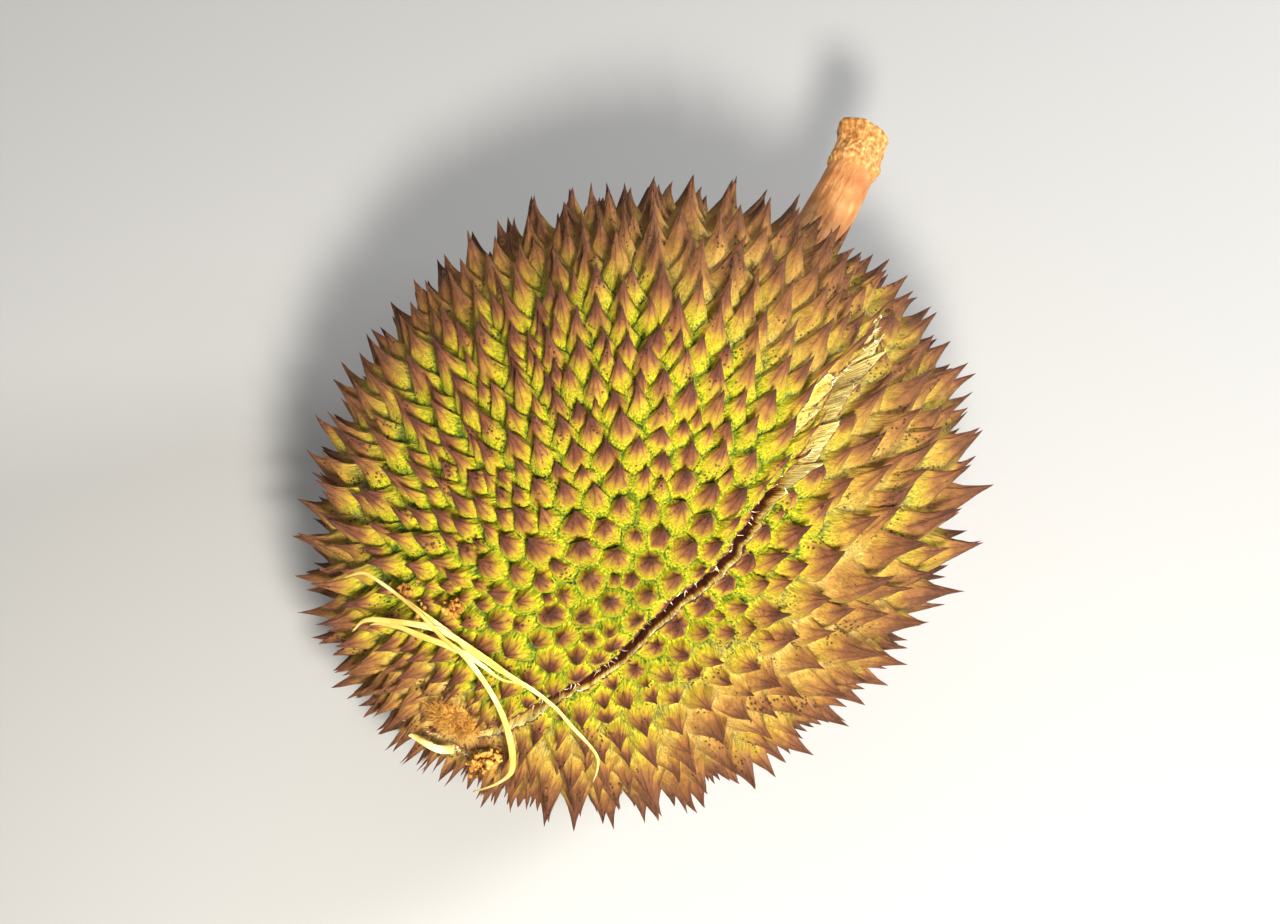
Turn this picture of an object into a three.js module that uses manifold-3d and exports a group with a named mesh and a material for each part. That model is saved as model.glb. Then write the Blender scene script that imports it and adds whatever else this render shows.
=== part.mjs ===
import * as THREE from 'three';
import { ConvexHull } from 'three/addons/math/ConvexHull.js';
import { mergeVertices } from 'three/addons/utils/BufferGeometryUtils.js';
import Module from 'manifold-3d';

const wasm = await Module();
wasm.setup();

// A durian lying on its side: +X runs from the blossom end to the stalk, +Z is up.
// Everything is worked out around the middle of the fruit, and the group then stands it on the
// surface. A place on the rind is a direction from that middle, given by two angles in degrees:
// alpha from the stalk end (0) to the blossom end (180), and beta about X, from +Y towards +Z.

// Driving dimensions, in millimetres and degrees
const rind = { x: 76, y: 69.5, z: 60.5 }; // half sizes of the rind between the spikes
const rindRoll = -24; // turn of the oval cross-section about X
const lobeSwell = 0.028; // how far the five lobes bulge, as a share of the radius
const bulges = [
  { alpha: 54, beta: 182, rise: 3.8, inner: 5, outer: 64 },
  { alpha: 152, beta: -33, rise: 3.0, inner: 5, outer: 60 },
]; // broad swellings of the rind
const sutureBeta = 125; // the suture that has split; the other four follow at 72 degree steps
const spikeLean = 0.3; // how far a tip sits towards the stalk, as a share of its height
const fruitMiddle = { x: -19.84, y: 1.88, z: 69.52 }; // the middle of the fruit above the resting point

const fineSpot = { alpha: 122, beta: 102 }; // middle of the patch of small spikes
const coarseSpot = { alpha: 98, beta: 168 }; // middle of the patch of broad spikes
const spacing = { fine: 5.9, usual: 8.5, coarse: 10.6, blossom: 4.9, stalk: 7.3 };
const spikeHeight = { fine: 8.0, usual: 11.6, coarse: 14.4, blossom: 9.8, stalk: 11.2 };
const runtShare = 0.16; // share of undersized spikes squeezed between the others
const runtSize = 0.66;

const footRadius = 24; // spikes this close to the lowest point are pressed flat
const footSink = 2.6; // how much of the lowest spikes is pressed away
const footReach = 1.3; // how far those spikes reach past the surface before they are pressed

const split = { from: 176, to: 44, width: 2.8, depth: 9 }; // the long split
const shortSplits = [
  { from: 177, to: 156, width: 2.6, depth: 7, beta: -33 },
  { from: 177, to: 162, width: 3.2, depth: 8, beta: -101 },
];
const knifeOverhang = 22; // the splits are cut from this far outside the rind
const tipClearance = { low: 2.7, high: 1.7 }; // spike tips keep this far from the middle of the split

const stalk = { radius: 7.9, neck: 6.5, knob: 7.3, seat: 69.5, gap: 0.3 };
const strip = { width: 1.8, thickness: 0.5 };
const stripRest = { reach: 1.14, clear: 0.85 }; // the strips lie clear of the tallest tips around them

const deg = Math.PI / 180;
const xAxis = new THREE.Vector3(1, 0, 0);

// Repeatable random numbers from 0 to 1
function makeRandom(seed) {
  let state = seed;
  return () => {
    state = (state + 0x6d2b79f5) | 0;
    let t = Math.imul(state ^ (state >>> 15), 1 | state);
    t = (t + Math.imul(t ^ (t >>> 7), 61 | t)) ^ t;
    return ((t ^ (t >>> 14)) >>> 0) / 4294967296;
  };
}

function direction(alpha, beta) {
  const ring = Math.sin(alpha * deg);
  return new THREE.Vector3(Math.cos(alpha * deg), ring * Math.cos(beta * deg), ring * Math.sin(beta * deg));
}

function alphaOf(dir) {
  return Math.acos(THREE.MathUtils.clamp(dir.x, -1, 1)) / deg;
}

function betaOf(dir) {
  return Math.atan2(dir.z, dir.y) / deg;
}

function nearness(dir, spot, inner, outer) {
  const angle = dir.angleTo(direction(spot.alpha, spot.beta)) / deg;
  return 1 - THREE.MathUtils.smoothstep(angle, inner, outer);
}

// The point at a height above the rind, with the lobes, the bulges and the turned oval section
function surfacePoint(dir, height) {
  const ring = 1 - dir.x * dir.x;
  const swell = 1 + lobeSwell * ring * Math.cos(5 * (betaOf(dir) - sutureBeta - 36) * deg);
  const rise = bulges.reduce((sum, b) => sum + b.rise * nearness(dir, b, b.inner, b.outer), height);
  const point = dir.clone().applyAxisAngle(xAxis, -rindRoll * deg);
  point.x *= rind.x * swell + rise;
  point.y *= rind.y * swell + rise;
  point.z *= rind.z * swell + rise;
  return point.applyAxisAngle(xAxis, rindRoll * deg);
}

// The wandering line of the split, as beta for a given alpha
function splitBeta(alpha) {
  const hook = Math.max(0, 72 - alpha) / 25;
  const curl = Math.max(0, alpha - 156) / 13;
  return sutureBeta + 2 + 0.9 * Math.sin(0.24 * alpha) + 5 * hook ** 1.5 + 1.6 * curl ** 2;
}

// A quantity that is named for each patch of the rind, blended from patch to patch
function blendPatches(dir, amounts) {
  const alpha = alphaOf(dir);
  let value = amounts.usual;
  value = THREE.MathUtils.lerp(value, amounts.coarse, nearness(dir, coarseSpot, 18, 56));
  value = THREE.MathUtils.lerp(value, amounts.fine, nearness(dir, fineSpot, 24, 60));
  value = THREE.MathUtils.lerp(value, amounts.stalk, 1 - THREE.MathUtils.smoothstep(alpha, 14, 42));
  return THREE.MathUtils.lerp(value, amounts.blossom, THREE.MathUtils.smoothstep(alpha, 140, 164));
}

// Spikes ---------------------------------------------------------------

const lowest = (() => {
  let best = direction(90, -90);
  for (let alpha = 60; alpha < 120; alpha += 1) {
    for (let beta = -130; beta < -50; beta += 1) {
      const dir = direction(alpha, beta);
      if (surfacePoint(dir, spikeHeight.usual).z < surfacePoint(best, spikeHeight.usual).z) best = dir;
    }
  }
  return surfacePoint(best, spikeHeight.usual);
})();
const footLevel = lowest.z + footSink;

// The bare collar around the stalk and the small ring around the blossom scar
function fixedBuds() {
  const buds = [{ dir: direction(0, 0), height: -3 }];
  for (let i = 0; i < 9; i += 1) buds.push({ dir: direction(8.6, i * 40), height: -0.8 });
  buds.push({ dir: direction(180, 0), height: 0.4 });
  for (let i = 0; i < 6; i += 1) buds.push({ dir: direction(176.6, i * 60 + 20), height: 2.6 });
  return buds.map((bud) => ({ ...bud, fixed: true, room: 4 }));
}

function scatterSpikes() {
  const random = makeRandom(20417);
  const spikes = fixedBuds();
  for (let i = 0; i < 60000; i += 1) {
    const x = 2 * random() - 1;
    const beta = 360 * random();
    const runt = random() < runtShare;
    const dir = direction(Math.acos(x) / deg, beta);
    const room = blendPatches(dir, spacing) * (runt ? runtSize : 1.06);
    const place = surfacePoint(dir, 0);
    const free = spikes.every((other) => {
      const gap = place.distanceTo(surfacePoint(other.dir, 0));
      return gap > 0.4 * (room + other.room);
    });
    if (free) spikes.push({ dir, room, runt, fixed: false });
  }
  return spikes;
}

// Spikes push their neighbours away until the spacing is even
function relaxSpikes(spikes) {
  for (let pass = 0; pass < 24; pass += 1) {
    const places = spikes.map((spike) => surfacePoint(spike.dir, 0));
    const pushes = spikes.map(() => new THREE.Vector3());
    for (let i = 0; i < spikes.length; i += 1) {
      for (let j = i + 1; j < spikes.length; j += 1) {
        const reach = 0.53 * (spikes[i].room + spikes[j].room);
        const gap = places[i].distanceTo(places[j]);
        if (gap < reach) {
          const push = places[i].clone().sub(places[j]).multiplyScalar(0.3 * (reach / gap - 1));
          pushes[i].add(push);
          pushes[j].sub(push);
        }
      }
    }
    spikes.forEach((spike, i) => {
      if (spike.fixed) return;
      const shift = pushes[i].divide(new THREE.Vector3(rind.x, rind.y, rind.z));
      spike.dir.add(shift).normalize();
      keepOffSplit(spike);
    });
  }
}

function keepOffSplit(spike) {
  const alpha = alphaOf(spike.dir);
  if (alpha > split.from || alpha < split.to) return;
  const beta = betaOf(spike.dir);
  const rindRadius = 70 * Math.sin(alpha * deg);
  const away = (beta - splitBeta(alpha)) * deg * rindRadius;
  const clearance = THREE.MathUtils.lerp(
    tipClearance.high,
    tipClearance.low,
    THREE.MathUtils.smoothstep(alpha, 84, 100),
  );
  if (Math.abs(away) >= clearance) return;
  const side = away < 0 ? -1 : 1;
  spike.dir.copy(direction(alpha, splitBeta(alpha) + (side * clearance) / rindRadius / deg));
}

// Heights, with the resting spikes made long enough to reach the surface
function growSpikes(spikes) {
  const random = makeRandom(5309);
  for (const spike of spikes) {
    const variation = 0.86 + 0.26 * random();
    if (spike.fixed) continue;
    spike.height = blendPatches(spike.dir, spikeHeight) * variation * (spike.runt ? 0.72 : 1);
    const tip = surfacePoint(spike.dir, spike.height);
    const fromFoot = Math.hypot(tip.x - lowest.x, tip.y - lowest.y);
    if (tip.z > 0 || fromFoot > footRadius) continue;
    while (surfacePoint(spike.dir, spike.height).z > footLevel - footReach) spike.height += 0.1;
  }
}

// The middle of a spike's base: the tip leans from it towards the stalk
function baseDirection(spike) {
  const alpha = alphaOf(spike.dir);
  const shift = (spikeLean * Math.max(0, spike.height) * Math.sin(alpha * deg)) / rind.y / deg;
  return direction(alpha + shift, betaOf(spike.dir));
}

// Every spike is a pyramid over the ground nearest to it. Its base corners are the points
// shared by three neighbouring spikes.
function spikyGeometry(spikes) {
  const points = spikes.map((spike, i) => Object.assign(spike.dir.clone(), { index: i }));
  const hull = new ConvexHull().setFromPoints(points);
  const bases = spikes.map(baseDirection);
  const positions = spikes.flatMap((spike) => surfacePoint(spike.dir, spike.height).toArray());
  const cornerOf = new Map();
  for (const face of hull.faces) {
    const ids = [0, 1, 2].map((k) => face.getEdge(k).head().point.index);
    const dir = new THREE.Vector3();
    ids.forEach((id) => dir.add(bases[id]));
    const corner = positions.length / 3;
    positions.push(...surfacePoint(dir.normalize(), 0).toArray());
    ids.forEach((id, k) => cornerOf.set(`${id}-${ids[(k + 1) % 3]}`, corner));
  }
  const index = [];
  for (const [key, corner] of cornerOf) {
    const [tip, next] = key.split('-').map(Number);
    index.push(tip, cornerOf.get(`${next}-${tip}`), corner);
  }
  const geometry = new THREE.BufferGeometry();
  geometry.setAttribute('position', new THREE.Float32BufferAttribute(positions, 3));
  geometry.setIndex(index);
  return geometry;
}

// Solids and cutting ---------------------------------------------------

// A closed skin over a row of rings that all have the same number of points
function loft(rings) {
  const count = rings[0].length;
  const positions = rings.flat().flatMap((point) => point.toArray());
  const index = [];
  for (let row = 0; row < rings.length - 1; row += 1) {
    for (let i = 0; i < count; i += 1) {
      const a = row * count + i;
      const b = row * count + ((i + 1) % count);
      index.push(a, b, a + count, b, b + count, a + count);
    }
  }
  const last = (rings.length - 1) * count;
  for (let i = 1; i < count - 1; i += 1) {
    index.push(0, i + 1, i);
    index.push(last, last + i, last + i + 1);
  }
  const geometry = new THREE.BufferGeometry();
  geometry.setAttribute('position', new THREE.Float32BufferAttribute(positions, 3));
  geometry.setIndex(index);
  return geometry;
}

function toSolid(geometry) {
  const bare = geometry.clone();
  bare.deleteAttribute('normal');
  bare.deleteAttribute('uv');
  const merged = mergeVertices(bare, 1e-4);
  const mesh = new wasm.Mesh({
    numProp: 3,
    vertProperties: new Float32Array(merged.attributes.position.array),
    triVerts: new Uint32Array(merged.index.array),
  });
  return new wasm.Manifold(mesh);
}

function toGeometry(solid) {
  const mesh = solid.getMesh();
  const geometry = new THREE.BufferGeometry();
  geometry.setAttribute('position', new THREE.BufferAttribute(new Float32Array(mesh.vertProperties), 3));
  geometry.setIndex(Array.from(mesh.triVerts));
  return geometry;
}

// A tapering knife that follows a suture, deepest along its middle
function splitKnife(cut, betaAt) {
  const rings = [];
  const steps = Math.round((cut.from - cut.to) / 3);
  for (let i = 0; i <= steps; i += 1) {
    const share = i / steps;
    const alpha = THREE.MathUtils.lerp(cut.from, cut.to, share);
    const open = Math.max(0.16, Math.sin(Math.PI * share) ** 0.45);
    const half = 0.5 * cut.width * open;
    const dir = direction(alpha, betaAt(alpha));
    const out = surfacePoint(dir, 10).sub(surfacePoint(dir, 0)).normalize();
    const side = direction(90, betaAt(alpha) + 90);
    const top = surfacePoint(dir, 0).addScaledVector(out, knifeOverhang);
    const bottom = surfacePoint(dir, 0).addScaledVector(out, -cut.depth * open);
    rings.push([
      top.clone().addScaledVector(side, -1.5 * half),
      top.clone().addScaledVector(side, 1.5 * half),
      bottom.clone().addScaledVector(side, 0.45 * half),
      bottom.clone().addScaledVector(side, -0.45 * half),
    ]);
  }
  return loft(rings);
}

// The round seat that the stalk stands in
function stalkSeat() {
  const seat = new THREE.CylinderGeometry(stalk.radius + stalk.gap, stalk.radius + stalk.gap, 30, 28);
  seat.rotateZ(-Math.PI / 2);
  seat.translate(stalk.seat + 15, 0, 0);
  return seat;
}

function floorBlock() {
  const block = new THREE.BoxGeometry(200, 200, 60);
  block.translate(0, 0, footLevel - 30);
  return block;
}

function huskGeometry() {
  const spikes = scatterSpikes();
  relaxSpikes(spikes);
  growSpikes(spikes);
  const whole = toSolid(spikyGeometry(spikes));
  const seated = whole.subtract(toSolid(stalkSeat()));
  let opened = seated.subtract(toSolid(splitKnife(split, splitBeta)));
  for (const cut of shortSplits) opened = opened.subtract(toSolid(splitKnife(cut, () => cut.beta)));
  return toGeometry(opened.subtract(toSolid(floorBlock())));
}

// Stalk ----------------------------------------------------------------

// Rings along the bent stalk: [share of its length, radius, side bulge]
function stalkGeometry() {
  const path = new THREE.CatmullRomCurve3([
    new THREE.Vector3(stalk.seat + stalk.gap, 0, 0),
    new THREE.Vector3(82, 0.1, 0),
    new THREE.Vector3(96, 0.6, 0.2),
    new THREE.Vector3(111, 2.2, 1.3),
    new THREE.Vector3(127, 4.6, 3.2),
  ]);
  const profile = [
    [0, stalk.radius, 0],
    [0.12, stalk.radius, 0],
    [0.24, stalk.radius, 0],
    [0.42, 7.3, 0],
    [0.6, 6.9, 0],
    [0.74, stalk.neck, 0],
    [0.78, stalk.neck + 0.2, 0],
    [0.8, stalk.knob, 0.2],
    [0.86, stalk.knob, 0.4],
    [0.93, stalk.knob + 0.2, 0.7],
    [0.97, stalk.knob - 0.6, 0.7],
    [1, stalk.knob - 2.2, 0.4],
  ];
  const sides = 20;
  const rings = profile.map(([share, radius, bulge]) => {
    const centre = path.getPointAt(share);
    const along = path.getTangentAt(share);
    const across = new THREE.Vector3(0, 0, 1).cross(along).normalize();
    const up = along.clone().cross(across);
    const ring = [];
    for (let i = 0; i < sides; i += 1) {
      const angle = (2 * Math.PI * i) / sides;
      const lump = radius + bulge * (Math.sin(2 * angle + 0.6) + 0.6 * Math.sin(3 * angle));
      const point = centre.clone().addScaledVector(across, lump * Math.cos(angle));
      ring.push(point.addScaledVector(up, lump * Math.sin(angle)));
    }
    return ring;
  });
  return loft(rings);
}

// Raffia strips --------------------------------------------------------

// Each route is a list of [alpha, beta, lift], laid over the spike tips
const stripRoutes = {
  raffia_strip_1: [
    [140.9, 46, 0.9], [140.1, 50.4, 1.5], [139.7, 54, 1.7], [140.7, 60.1, 1.7], [142.1, 67.9, 1.7],
    [143.5, 76.6, 2.1], [144.9, 84.1, 2.5], [145.8, 90.7, 2.2], [147.8, 97.5, 1.5], [149.8, 103.7, 1],
    [152.3, 111.6, 0.7], [155, 119.8, 0.5], [157.9, 129.2, 0.3], [160.8, 138.5, 0.1], [164.5, 146.3, -0.3],
    [168.4, 156.7, -0.7], [171.8, 178.6, -1.2],
  ],
  raffia_strip_2: [
    [149.8, 46, 0], [147.6, 52.9, 0.6], [146.6, 64.3, 0.6], [145.5, 73.6, 0.6], [144.8, 80, 0.5],
    [144.7, 84, 0.5], [144.9, 91.6, 0.6], [145.3, 99.8, 0.7], [145.7, 106.5, 0.7], [145.6, 113, 0.6],
    [145.8, 122.4, 0.4], [146.3, 130.7, 0.2], [146.1, 138.5, 0.2], [146.2, 143.8, 0], [147.5, 148.9, -0.2],
    [149.3, 154.2, -0.6],
  ],
  raffia_strip_3: [
    [148.6, 53.6, -0.6], [147.9, 58, -0.3], [147.5, 65.8, -0.2], [147.5, 73.5, -0.2], [147.1, 81.6, -0.2],
    [146.6, 89.5, 0], [146.9, 97.1, 0.1], [147.4, 103.4, 0], [147, 106.7, -0.2], [146.3, 108.9, -0.5],
  ],
  raffia_strip_4: [
    [142, 62.5, 0.2], [143.2, 71, 0.2], [144.6, 79.5, -0.5], [145.4, 86, -1], [146.3, 91.3, -1.1],
    [146.3, 96.1, -1], [146.7, 100.7, -1.1], [146.9, 104.8, -1.2], [147.1, 109.1, -1.3],
  ],
};

function stripGeometry(route) {
  const stations = route.map(([alpha, beta, lift]) => {
    const dir = direction(alpha, beta);
    const tips = stripRest.reach * blendPatches(dir, spikeHeight);
    return surfacePoint(dir, tips + stripRest.clear + lift);
  });
  const path = new THREE.CatmullRomCurve3(stations, false, 'centripetal');
  const steps = Math.round(path.getLength() / 3);
  const rings = [];
  for (let i = 0; i <= steps; i += 1) {
    const centre = path.getPointAt(i / steps);
    const along = path.getTangentAt(i / steps);
    const across = along.clone().cross(centre).normalize();
    const up = across.clone().cross(along).normalize();
    const ring = [];
    for (let k = 0; k < 8; k += 1) {
      const angle = ((k + 0.5) * Math.PI) / 4;
      const point = centre.clone().addScaledVector(across, 0.54 * strip.width * Math.cos(angle));
      ring.push(point.addScaledVector(up, -0.54 * strip.thickness * Math.sin(angle)));
    }
    rings.push(ring);
  }
  return loft(rings);
}

// Assembly -------------------------------------------------------------

const huskFinish = new THREE.MeshStandardMaterial({ color: '#a3852b', roughness: 0.7, metalness: 0 });
const stalkFinish = new THREE.MeshStandardMaterial({ color: '#c98a4b', roughness: 0.75, metalness: 0 });
const stripFinish = new THREE.MeshStandardMaterial({ color: '#ead37a', roughness: 0.6, metalness: 0 });

function piece(name, geometry, finish) {
  const mesh = new THREE.Mesh(geometry, finish.clone());
  mesh.name = name;
  return mesh;
}

const durian = new THREE.Group();
durian.add(piece('husk', huskGeometry(), huskFinish));
durian.add(piece('stalk', stalkGeometry(), stalkFinish));
for (const [name, route] of Object.entries(stripRoutes)) {
  durian.add(piece(name, stripGeometry(route), stripFinish));
}
durian.position.set(fruitMiddle.x, fruitMiddle.y, fruitMiddle.z);

export default durian;
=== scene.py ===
import math
import bmesh
import bpy
import numpy as np
from mathutils import Matrix, Vector, noise


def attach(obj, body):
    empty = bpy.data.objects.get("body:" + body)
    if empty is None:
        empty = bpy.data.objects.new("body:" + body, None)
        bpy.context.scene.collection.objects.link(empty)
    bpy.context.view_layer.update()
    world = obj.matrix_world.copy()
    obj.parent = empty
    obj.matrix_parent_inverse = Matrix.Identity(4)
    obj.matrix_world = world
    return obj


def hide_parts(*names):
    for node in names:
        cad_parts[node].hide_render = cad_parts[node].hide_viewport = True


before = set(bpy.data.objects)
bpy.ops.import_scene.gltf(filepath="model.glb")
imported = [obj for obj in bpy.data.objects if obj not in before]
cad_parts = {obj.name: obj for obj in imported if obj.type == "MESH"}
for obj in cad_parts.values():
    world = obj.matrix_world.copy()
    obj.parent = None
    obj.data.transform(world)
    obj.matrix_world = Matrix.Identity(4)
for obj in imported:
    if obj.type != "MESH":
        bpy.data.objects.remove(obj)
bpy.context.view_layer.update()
random = np.random.default_rng(4)
print("frame loaded")

# The rind as a map
# A place on the rind is a direction from the middle of the fruit and a height above the ground
# between the spikes. alpha runs from the stalk (0) to the blossom end (180), beta goes round X.

fruit = {
    "middle": (-0.01984, 0.00188, 0.06952),
    "rind": (0.076, 0.0695, 0.0605),  # half sizes between the spikes
    "roll": -24,  # turn of the oval section about X
    "swell": 0.028,  # bulge of the five lobes
    "bulges": ((54, 182, 0.0038, 64), (152, -33, 0.003, 60)),  # alpha, beta, rise, reach
    "suture": 125,
    "lean": 0.3,  # how far a tip sits towards the stalk, as a share of its height
    "fineSpot": (122, 102),
    "coarseSpot": (98, 168),
    "shortest": 0.003,  # anything lower isn't counted as a spike
    "scar": (170, 90),
    "pressed": 0.0013,  # how much is missing from the spikes it rests on
}
middle = np.array(fruit["middle"])
rindSize = np.array(fruit["rind"])
meanRadius = float(rindSize.mean())
rollTurn = np.array(Matrix.Rotation(math.radians(fruit["roll"]), 3, "X"))


def unit(vectors):
    return vectors / np.linalg.norm(vectors, axis=-1, keepdims=True)


def direction(alpha, beta):
    alpha, beta = np.radians(alpha), np.radians(beta)
    alpha, beta = np.broadcast_arrays(alpha, beta)
    ring = np.sin(alpha)
    return np.stack([np.cos(alpha), ring * np.cos(beta), ring * np.sin(beta)], -1)


def angles(dirs):
    alpha = np.degrees(np.arccos(np.clip(dirs[..., 0], -1, 1)))
    return alpha, np.degrees(np.arctan2(dirs[..., 2], dirs[..., 1]))


def rindSizes(dirs):
    beta = angles(dirs)[1]
    wave = np.cos(5 * np.radians(beta - fruit["suture"] - 36))
    swell = 1 + fruit["swell"] * (1 - dirs[..., 0] ** 2) * wave
    rise = sum(rise * nearness(dirs, (alpha, beta), 5, reach) for alpha, beta, rise, reach in fruit["bulges"])
    return rindSize * swell[..., None] + rise[..., None]


def surfacePoint(dirs, height):
    sizes = rindSizes(dirs) + np.asarray(height)[..., None]
    return (dirs @ rollTurn * sizes) @ rollTurn.T + middle


def readSurface(points):
    oval = (points - middle) @ rollTurn
    dirs = unit(oval / rindSize) @ rollTurn.T
    heights = np.zeros(len(points))
    for _ in range(14):
        scaled = oval / (rindSizes(dirs) + heights[:, None])
        length = np.linalg.norm(scaled, axis=1)
        heights += (length - 1) * meanRadius
        dirs = (scaled / length[:, None]) @ rollTurn.T
    return dirs, heights


def smooth(low, high, value):
    share = np.clip((value - low) / (high - low), 0, 1)
    return share * share * (3 - 2 * share)


def nearness(dirs, spot, inner, outer):
    angle = np.degrees(np.arccos(np.clip(dirs @ direction(*spot), -1, 1)))
    return 1 - smooth(inner, outer, angle)


def blendPatches(dirs, usual, coarse, fine, stalkEnd, blossomEnd):
    alpha = angles(dirs)[0]
    value = np.full(len(dirs), float(usual))
    for amount, share in (
        (coarse, nearness(dirs, fruit["coarseSpot"], 18, 56)),
        (fine, nearness(dirs, fruit["fineSpot"], 24, 60)),
        (stalkEnd, 1 - smooth(14, 42, alpha)),
        (blossomEnd, smooth(140, 164, alpha)),
    ):
        value += (amount - value) * share
    return value


# Spikes from the CAD husk

def mergedMesh(mesh):
    points = np.empty(len(mesh.vertices) * 3)
    mesh.vertices.foreach_get("co", points)
    edges = np.empty(len(mesh.edges) * 2, int)
    mesh.edges.foreach_get("vertices", edges)
    points = points.reshape(-1, 3)
    keys = np.round(points * 1e6).astype(np.int64)
    _, first, places = np.unique(keys, axis=0, return_index=True, return_inverse=True)
    return points[first], places.reshape(-1)[edges].reshape(-1, 2)


def highestNeighbour(values, edges):
    highest = np.full(len(values), -1.0)
    np.maximum.at(highest, edges[:, 0], values[edges[:, 1]])
    np.maximum.at(highest, edges[:, 1], values[edges[:, 0]])
    return highest


def pressedTips(points, edges):
    onFloor = points[:, 2] < 5e-5
    flatEdges = edges[onFloor[edges].all(axis=1)]
    label = np.arange(len(points))
    for _ in range(60):
        np.minimum.at(label, flatEdges[:, 0], label[flatEdges[:, 1]])
        np.minimum.at(label, flatEdges[:, 1], label[flatEdges[:, 0]])
    groups = [points[label == g] for g in np.unique(label[onFloor])]
    tips = np.array([group.mean(axis=0) for group in groups if len(group) > 2])
    tips[:, 2] -= fruit["pressed"]
    return tips


def fixedBuds():
    collar = direction(8.6, np.arange(9) * 40.0)
    ring = direction(176.6, np.arange(6) * 60.0 + 20)
    dirs = np.concatenate([[[1, 0, 0]], collar, [[-1, 0, 0]], ring])
    heights = np.array([-3.0] + [-0.8] * 9 + [0.4] + [2.6] * 6) * 0.001
    return dirs, heights


def readSpikes():
    points, edges = mergedMesh(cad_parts["husk"].data)
    dirs, heights = readSurface(points)
    isTip = (heights > highestNeighbour(heights, edges) + 0.0003) & (heights > fruit["shortest"])
    isTip &= points[:, 2] > 5e-5
    flatDirs, flatHeights = readSurface(pressedTips(points, edges))
    budDirs, budHeights = fixedBuds()
    allDirs = np.concatenate([dirs[isTip], flatDirs, budDirs])
    allHeights = np.concatenate([heights[isTip], flatHeights, budHeights])
    low = nearness(allDirs, (172, 94), 7, 12)
    return allDirs, allHeights - low * np.maximum(0, allHeights - 0.003)


tipDirs, tipHeights = readSpikes()
spikeCount = len(tipDirs)
print("spikes read from the frame:", spikeCount)

spikeShape = {
    "columns": 3,  # columns of faces along each side of a spike's base
    "levels": (0.86, 0.7, 0.54, 0.39, 0.26, 0.15, 0.06),  # rows from the base to the tip
    "tilt": np.array((0.095, 0.215, 0.105)),  # extra sideways lean of the tips, as a share of their height
    "curve": (0.9, 0.8, 0.84, 1.05, 0.92),  # usual, coarse, fine, stalk end, blossom end
    "slender": (0.8, 0.75, 0.35, 0.95, 0.6),  # how much thinner the upper part is
    "round": (0.42, 0.08, 0.45, 0.5, 0.3),
    "flute": (0.2, 0.22, 0.14, 0.16, 0.2),
    "valleys": (128, 42),  # middle of the side where the ground shows between the spikes
    "chips": 0.0003,
    "blade": 0.62,  # how much the spikes at the blossom end are flattened
    "saddle": 0.0007,  # rise of the ground between two spikes
    "wobble": 0.07,
}


def deltas():
    bm = bmesh.new()
    for d in tipDirs:
        bm.verts.new(d)
    bm.verts.index_update()
    bmesh.ops.convex_hull(bm, input=bm.verts)
    bmesh.ops.triangulate(bm, faces=bm.faces[:])
    triangles = np.array([[v.index for v in f.verts] for f in bm.faces])
    bm.free()
    a, b, c = (tipDirs[triangles[:, k]] for k in range(3))
    inward = np.einsum("ij,ij->i", np.cross(b - a, c - a), a) < 0
    triangles[inward] = triangles[inward][:, ::-1]
    return triangles


class Pile:
    def __init__(self, names):
        self.points = []
        self.values = {name: [] for name in names}
        self.count = 0

    def add(self, points, **values):
        start = self.count
        self.points.append(points)
        self.count += len(points)
        for name, store in self.values.items():
            store.append(np.broadcast_to(values.get(name, 0.0), len(points)).astype(float))
        return start


def chips(points, seeds, level):
    return np.array([
        noise.noise(Vector((x * 330, y * 330, z * 330 + seed + level * 5)))
        for (x, y, z), seed in zip(points, seeds)
    ])


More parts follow.
